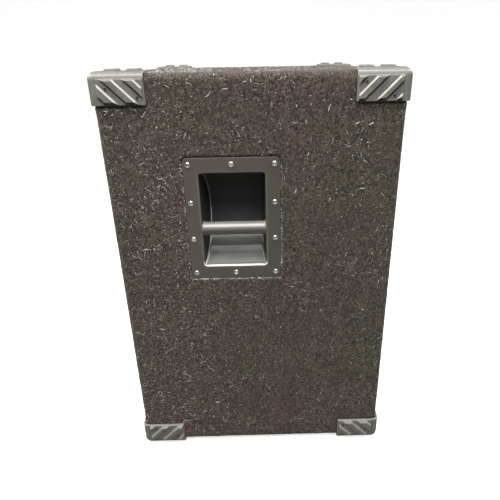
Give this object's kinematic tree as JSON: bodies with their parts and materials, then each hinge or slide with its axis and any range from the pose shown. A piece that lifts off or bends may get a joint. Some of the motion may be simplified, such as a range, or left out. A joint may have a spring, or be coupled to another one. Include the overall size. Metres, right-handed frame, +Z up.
{
  "type": "pa speaker cabinet",
  "caption": "Carpet-covered floor-standing loudspeaker cabinet with recessed side handles, ribbed corner protectors, woofer, horn and steel grille.",
  "frame": {"origin": "on the floor, under the centre of the footprint", "axes": "+Z up, +Y towards the back panel, so the grille faces -Y, +X towards the right-hand handle as seen from the front"},
  "size_m": [0.524, 0.473, 0.71],
  "materials": {
    "plywood": "sawn",
    "carpet": "fuzzy",
    "corner_plastic": "satin",
    "handle_steel": "satin black",
    "screw_steel": "bright zinc",
    "grille_steel": "fine texture black",
    "basket_steel": "satin black",
    "motor_steel": "zinc plated",
    "ferrite": "ground",
    "cone_paper": "coated",
    "surround_cloth": "doped",
    "spider_cloth": "resin-dipped",
    "coil_copper": "enamelled",
    "trim_plastic": "fine texture",
    "diaphragm_metal": "bright",
    "circuit_board": "lacquered"
  },
  "bodies": {
    "cabinet": {"side_panel_right": "plywood", "side_panel_left": "plywood", "top_panel": "plywood", "bottom_panel": "plywood", "back_panel": "plywood", "baffle_board": "plywood", "centre_brace": "plywood", "carpet_cover": "carpet", "corner_front_top_right": "corner_plastic", "corner_front_bottom_right": "corner_plastic", "corner_rear_top_right": "corner_plastic", "corner_rear_bottom_right": "corner_plastic", "corner_front_top_left": "corner_plastic", "corner_front_bottom_left": "corner_plastic", "corner_rear_top_left": "corner_plastic", "corner_rear_bottom_left": "corner_plastic", "handle_pan_right": "handle_steel", "handle_bar_right": "handle_steel", "port_tube_right": "trim_plastic", "speaker_socket_right": "trim_plastic", "handle_pan_left": "handle_steel", "handle_bar_left": "handle_steel", "port_tube_left": "trim_plastic", "speaker_socket_left": "trim_plastic", "handle_screw_right_1": "screw_steel", "handle_screw_right_2": "screw_steel", "handle_screw_right_3": "screw_steel", "handle_screw_right_4": "screw_steel", "handle_screw_right_5": "screw_steel", "handle_screw_right_6": "screw_steel", "handle_screw_right_7": "screw_steel", "handle_screw_right_8": "screw_steel", "handle_screw_right_9": "screw_steel", "handle_screw_right_10": "screw_steel", "handle_screw_left_1": "screw_steel", "handle_screw_left_2": "screw_steel", "handle_screw_left_3": "screw_steel", "handle_screw_left_4": "screw_steel", "handle_screw_left_5": "screw_steel", "handle_screw_left_6": "screw_steel", "handle_screw_left_7": "screw_steel", "handle_screw_left_8": "screw_steel", "handle_screw_left_9": "screw_steel", "handle_screw_left_10": "screw_steel", "front_grille": "grille_steel", "woofer_basket": "basket_steel", "woofer_top_plate": "motor_steel", "woofer_yoke": "motor_steel", "woofer_magnet": "ferrite", "woofer_surround": "surround_cloth", "woofer_spider": "spider_cloth", "horn_flare": "trim_plastic", "compression_driver": "basket_steel", "crossover_board": "circuit_board", "input_plate": "handle_steel", "pole_socket": "trim_plastic"},
    "cone_assembly": {"woofer_cone": "cone_paper", "woofer_dust_cap": "cone_paper", "woofer_voice_coil": "coil_copper"},
    "diaphragm": {"driver_diaphragm": "diaphragm_metal"}
  },
  "joints": [
    {"name": "cone_travel", "type": "slide", "parent": "cabinet", "child": "cone_assembly", "axis": [0, 1, 0], "range_m": [-0.006, 0.006], "deforming": ["woofer_surround", "woofer_spider"]},
    {"name": "diaphragm_travel", "type": "slide", "parent": "cabinet", "child": "diaphragm", "axis": [0, 1, 0], "range_m": [-0.0003, 0.0003]}
  ]
}
